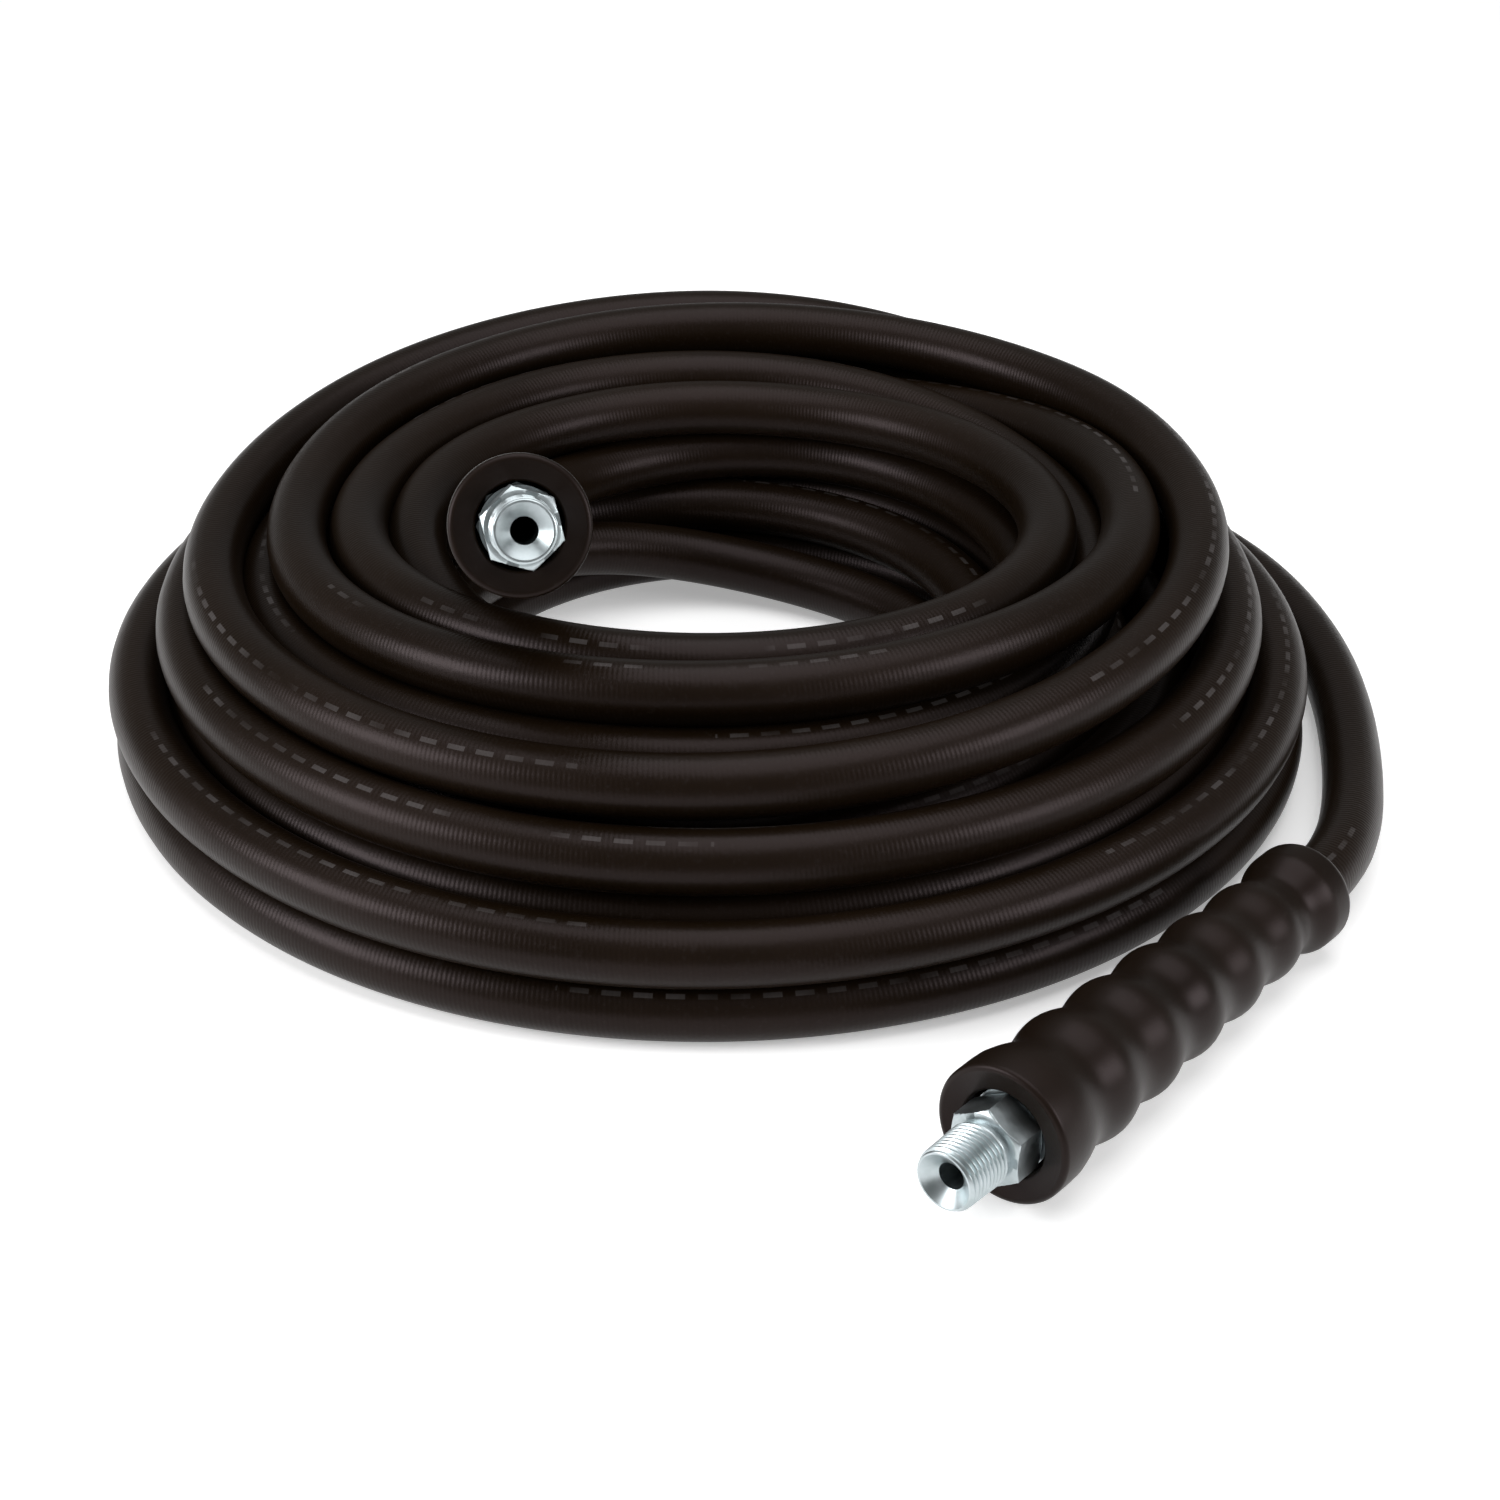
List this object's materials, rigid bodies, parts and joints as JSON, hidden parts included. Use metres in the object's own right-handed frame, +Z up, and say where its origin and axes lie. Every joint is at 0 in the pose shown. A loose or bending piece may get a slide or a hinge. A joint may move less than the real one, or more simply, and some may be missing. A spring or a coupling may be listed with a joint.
{
  "type": "hydraulic hose assembly",
  "caption": "Coiled rubber-covered wire-braid hydraulic hose with a ribbed bend restrictor and a male pipe-thread steel fitting on each end, one fitting swivelling.",
  "frame": {"origin": "middle of the footprint, on the surface that the coil lies on", "axes": "+Z up; -Y towards the fixed fitting and the open front of the coil; +X to the side where the hose runs out to the fixed fitting"},
  "size_m": [0.3809, 0.4577, 0.1397],
  "materials": {
    "hose_rubber": "satin, fine cloth-wrap texture",
    "grip_rubber": "satin moulded",
    "tube_rubber": "matte",
    "braid_wire": "brass-coated steel wire",
    "zinc_steel": "bright zinc plate",
    "ring_steel": "spring steel",
    "seal_rubber": "smooth",
    "backup_plastic": "smooth",
    "washer_brass": "plain"
  },
  "bodies": {
    "hose": {"hose_coil_base": "hose_rubber", "hose_coil_middle": "hose_rubber", "hose_coil_top": "hose_rubber", "hose_tail_front": "hose_rubber", "hose_tail_swivel": "hose_rubber", "front_grip": "grip_rubber", "front_ferrule": "zinc_steel", "front_stem": "zinc_steel", "front_inner_tube": "tube_rubber", "front_wire_braid": "braid_wire", "front_cover": "hose_rubber", "swivel_grip": "grip_rubber", "swivel_ferrule": "zinc_steel", "swivel_stem": "zinc_steel", "swivel_inner_tube": "tube_rubber", "swivel_wire_braid": "braid_wire", "swivel_cover": "hose_rubber", "swivel_o_ring": "seal_rubber", "swivel_backup_ring": "backup_plastic", "swivel_lock_ring": "ring_steel", "swivel_thrust_washer": "washer_brass"},
    "swivel": {"swivel_body": "zinc_steel"}
  },
  "joints": [
    {"name": "swivel_spin", "type": "hinge", "parent": "hose", "child": "swivel", "pos_m": [-0.05631, -0.09475, 0.12231], "axis": [0.1118, -0.9102, 0.3987], "continuous": true}
  ]
}
